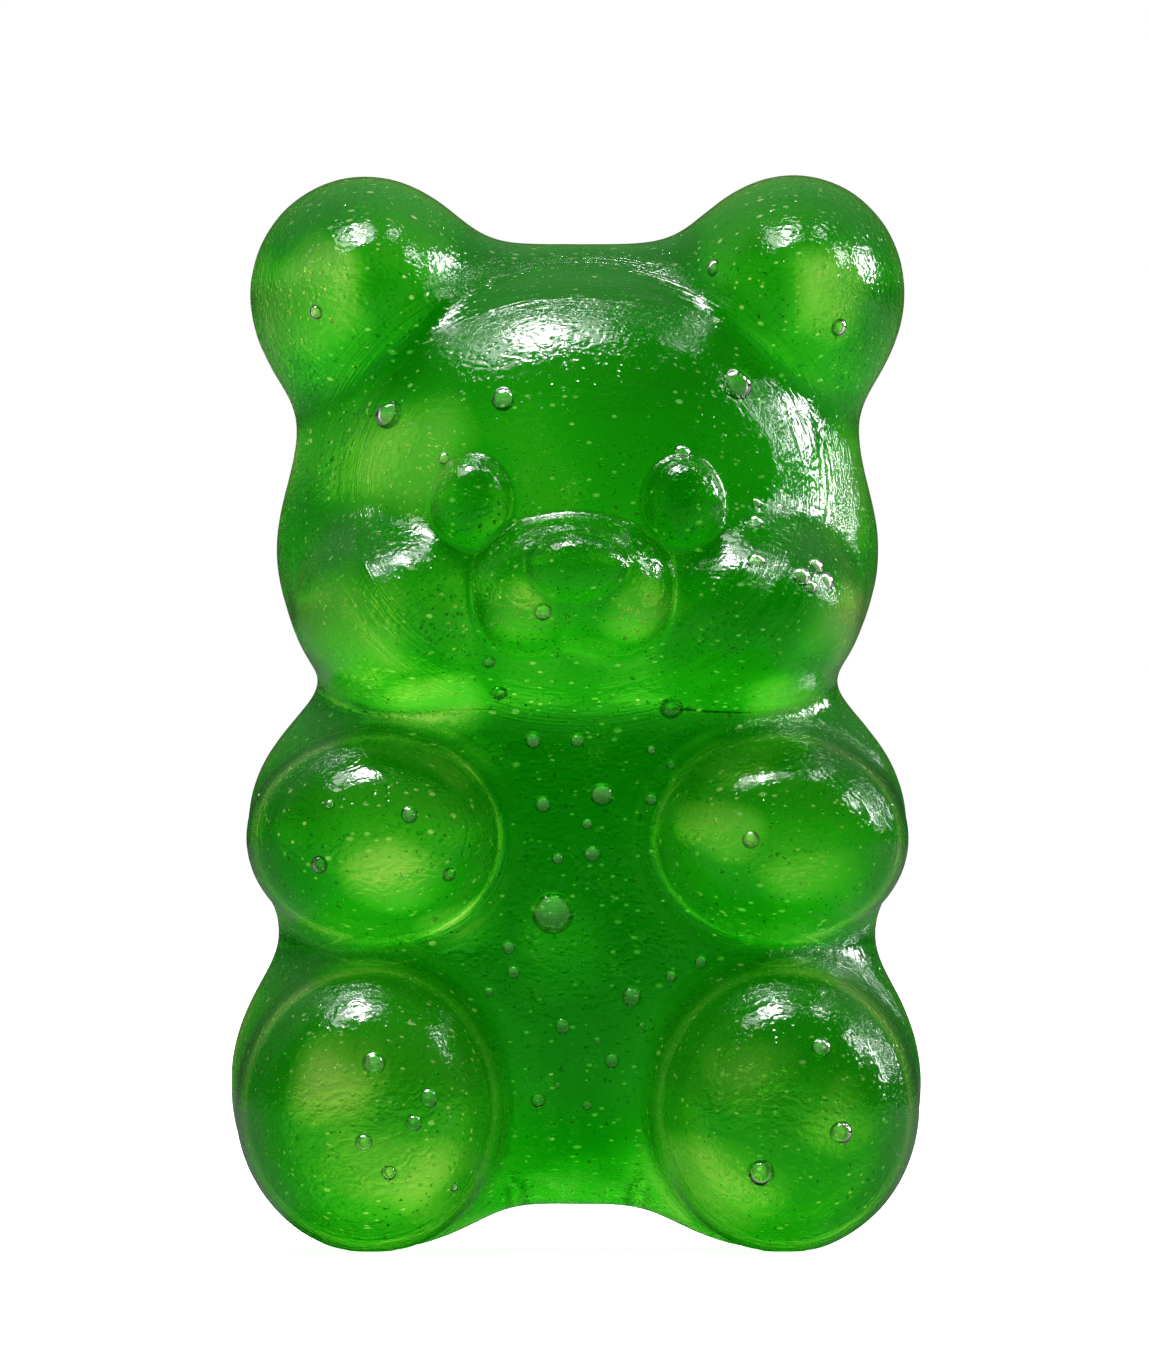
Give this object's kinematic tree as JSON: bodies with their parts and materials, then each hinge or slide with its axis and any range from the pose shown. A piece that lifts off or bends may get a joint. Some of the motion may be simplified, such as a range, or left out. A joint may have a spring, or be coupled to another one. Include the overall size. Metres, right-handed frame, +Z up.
{
  "type": "gummy bear",
  "caption": "Translucent green gummy bear sweet: round ears, cheeks, muzzle, nose and eyes, arms and legs held forward, a flat moulded back and small flats under the feet.",
  "frame": {"origin": "on the floor, under the middle of the bear's width and depth", "axes": "+Z up through the head, the face looks along -Y, the flat moulded back faces +Y"},
  "size_m": [0.0142, 0.0098, 0.022],
  "materials": {
    "green_jelly": "glossy translucent green jelly with a fine orange-peel skin and small air bubbles inside"
  },
  "bodies": {
    "root": {"bear": "green_jelly"}
  },
  "joints": []
}
